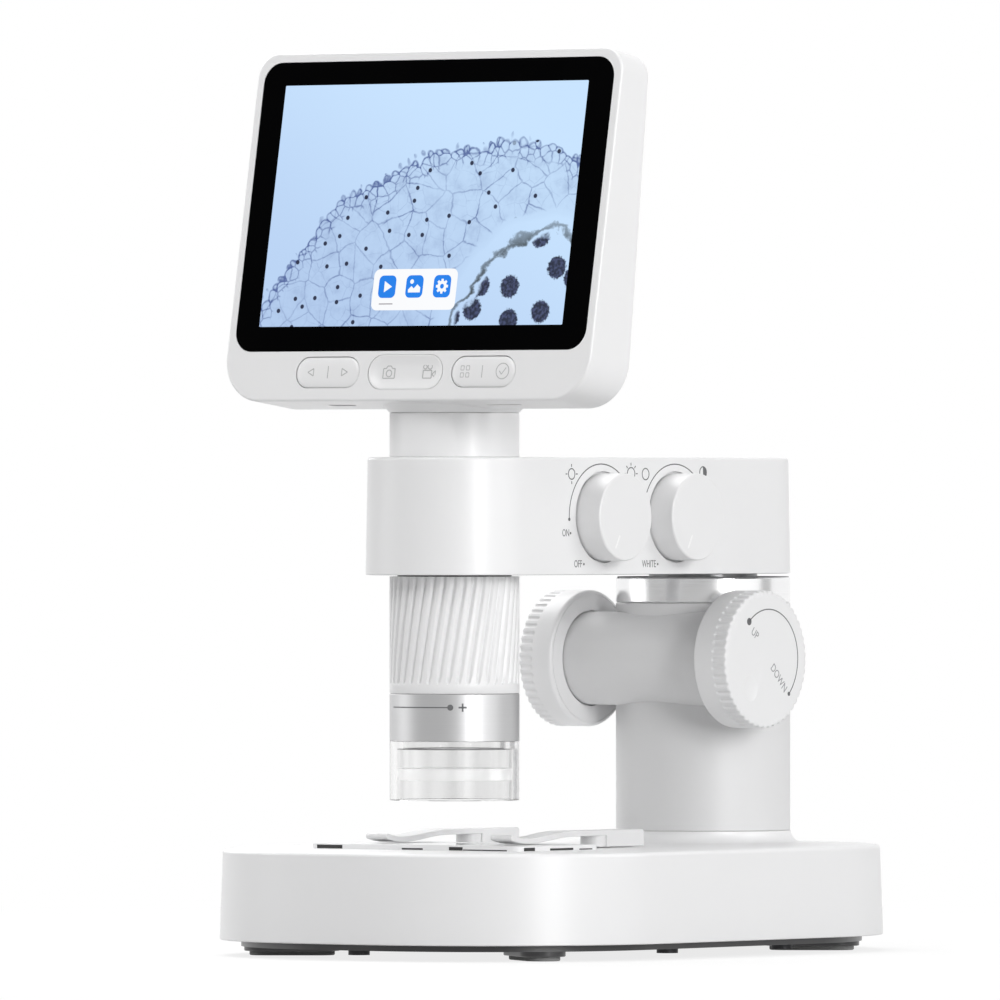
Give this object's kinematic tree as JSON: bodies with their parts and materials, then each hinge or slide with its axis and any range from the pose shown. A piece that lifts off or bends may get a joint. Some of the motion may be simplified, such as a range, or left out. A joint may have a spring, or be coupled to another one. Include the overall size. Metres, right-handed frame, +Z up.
{
  "type": "digital microscope",
  "caption": "Desktop digital microscope: camera barrel on a rack-and-pinion column above a lit stage, with a display that swivels on top.",
  "frame": {"origin": "centre of the footprint, on the surface that the feet stand on", "axes": "+Z up, -Y to the front where the display faces, +X to the right where the dials are"},
  "size_m": [0.14, 0.205, 0.2534],
  "materials": {
    "white_plastic": "satin",
    "dark_plastic": "matte",
    "rubber_pad": "matte",
    "bright_metal": "polished",
    "satin_metal": "satin",
    "screw_steel": "plain",
    "brass": "plain",
    "nylon": "matte",
    "circuit_board": "matte",
    "battery": "matte",
    "clear_plastic": "clear",
    "optical_glass": "clear",
    "screen_glass": "glossy",
    "display": "matte"
  },
  "bodies": {
    "base_body": {"base_shell": "white_plastic", "bottom_plate": "dark_plastic", "foot_bases": "dark_plastic", "foot_pads": "rubber_pad", "bottom_screws": "screw_steel", "battery_pack": "battery", "light_board": "circuit_board", "light_tube": "white_plastic", "stage_plate": "white_plastic", "stage_window": "optical_glass", "clip_pins": "bright_metal", "column_tube": "white_plastic", "column_collar": "bright_metal", "column_flange": "satin_metal", "column_screws": "screw_steel", "guide_bush_upper": "nylon", "guide_bush_lower": "nylon", "shaft_bushes": "nylon"},
    "focus_body": {"focus_shaft": "bright_metal", "focus_pinion": "brass", "focus_knob_left": "white_plastic", "focus_knob_right": "white_plastic"},
    "carriage_body": {"slide_post": "satin_metal", "focus_rack": "brass", "arm_shell": "white_plastic", "arm_cover": "white_plastic", "arm_screws": "screw_steel", "control_board": "circuit_board", "dial_pots": "dark_plastic", "barrel_tube": "dark_plastic", "index_ring": "satin_metal", "clear_sleeve": "clear_plastic", "ring_light_board": "circuit_board", "sensor_board": "circuit_board", "neck_tube": "white_plastic", "neck_nut": "satin_metal", "swivel_bush": "nylon"},
    "brightness_body": {"brightness_dial": "white_plastic"},
    "light_body": {"light_dial": "white_plastic"},
    "zoom_body": {"zoom_ring": "white_plastic"},
    "lens_body": {"lens_cell": "dark_plastic", "objective_lens": "optical_glass", "lens_retainer": "dark_plastic"},
    "screen_body": {"swivel_hub": "white_plastic", "swivel_clip": "bright_metal", "screen_casing": "white_plastic", "back_cover": "white_plastic", "back_screws": "screw_steel", "cover_glass": "screen_glass", "lcd_panel": "display", "main_board": "circuit_board", "button_board": "circuit_board", "usb_socket": "bright_metal", "card_socket": "bright_metal"},
    "left_key_body": {"left_rocker": "white_plastic"},
    "middle_key_body": {"middle_rocker": "white_plastic"},
    "right_key_body": {"right_rocker": "white_plastic"},
    "left_clip_body": {"stage_clip_left": "white_plastic"},
    "right_clip_body": {"stage_clip_right": "white_plastic"}
  },
  "joints": [
    {"name": "carriage_lift", "type": "slide", "parent": "base_body", "child": "carriage_body", "axis": [0, 0, 1], "range_m": [-0.0008, 0.03]},
    {"name": "focus_turn", "type": "hinge", "parent": "base_body", "child": "focus_body", "pos_m": [0, 0.0514, 0.0825], "axis": [1, 0, 0], "range_deg": [-11, 383]},
    {"name": "brightness_turn", "type": "hinge", "parent": "carriage_body", "child": "brightness_body", "pos_m": [0.028, -0.0093, 0.1229], "axis": [-1, 0, 0], "range_deg": [0, 270]},
    {"name": "light_turn", "type": "hinge", "parent": "carriage_body", "child": "light_body", "pos_m": [0.028, 0.0248, 0.1229], "axis": [-1, 0, 0], "range_deg": [0, 270]},
    {"name": "zoom_turn", "type": "hinge", "parent": "carriage_body", "child": "zoom_body", "pos_m": [0, -0.0459, 0.09], "axis": [0, 0, 1], "range_deg": [-60, 60]},
    {"name": "lens_shift", "type": "slide", "parent": "carriage_body", "child": "lens_body", "axis": [0, 0, 1], "range_m": [-0.003, 0.003]},
    {"name": "screen_swivel", "type": "hinge", "parent": "carriage_body", "child": "screen_body", "pos_m": [0, -0.0459, 0.1521], "axis": [0, 0, 1], "range_deg": [-90, 90]},
    {"name": "left_key", "type": "hinge", "parent": "screen_body", "child": "left_key_body", "pos_m": [-0.0274, -0.06391, 0.1626], "axis": [0, 0.1788, 0.9839], "range_deg": [-2.5, 2.5], "stiffness_Nm_per_rad": 0.37},
    {"name": "middle_key", "type": "hinge", "parent": "screen_body", "child": "middle_key_body", "pos_m": [0, -0.06391, 0.1626], "axis": [0, 0.1788, 0.9839], "range_deg": [-2.5, 2.5], "stiffness_Nm_per_rad": 0.37},
    {"name": "right_key", "type": "hinge", "parent": "screen_body", "child": "right_key_body", "pos_m": [0.0274, -0.06391, 0.1626], "axis": [0, 0.1788, 0.9839], "range_deg": [-2.5, 2.5], "stiffness_Nm_per_rad": 0.37},
    {"name": "left_clip_turn", "type": "hinge", "parent": "base_body", "child": "left_clip_body", "pos_m": [-0.022, -0.0106, 0.033], "axis": [0, 0, 1], "range_deg": [-40, 5]},
    {"name": "right_clip_turn", "type": "hinge", "parent": "base_body", "child": "right_clip_body", "pos_m": [0.022, -0.0106, 0.033], "axis": [0, 0, 1], "range_deg": [-5, 40]}
  ],
  "couplings": [
    {"joint": "focus_turn", "follows": "carriage_lift", "rad_per_m": 222.22},
    {"joint": "zoom_turn", "follows": "lens_shift", "rad_per_m": 349}
  ]
}
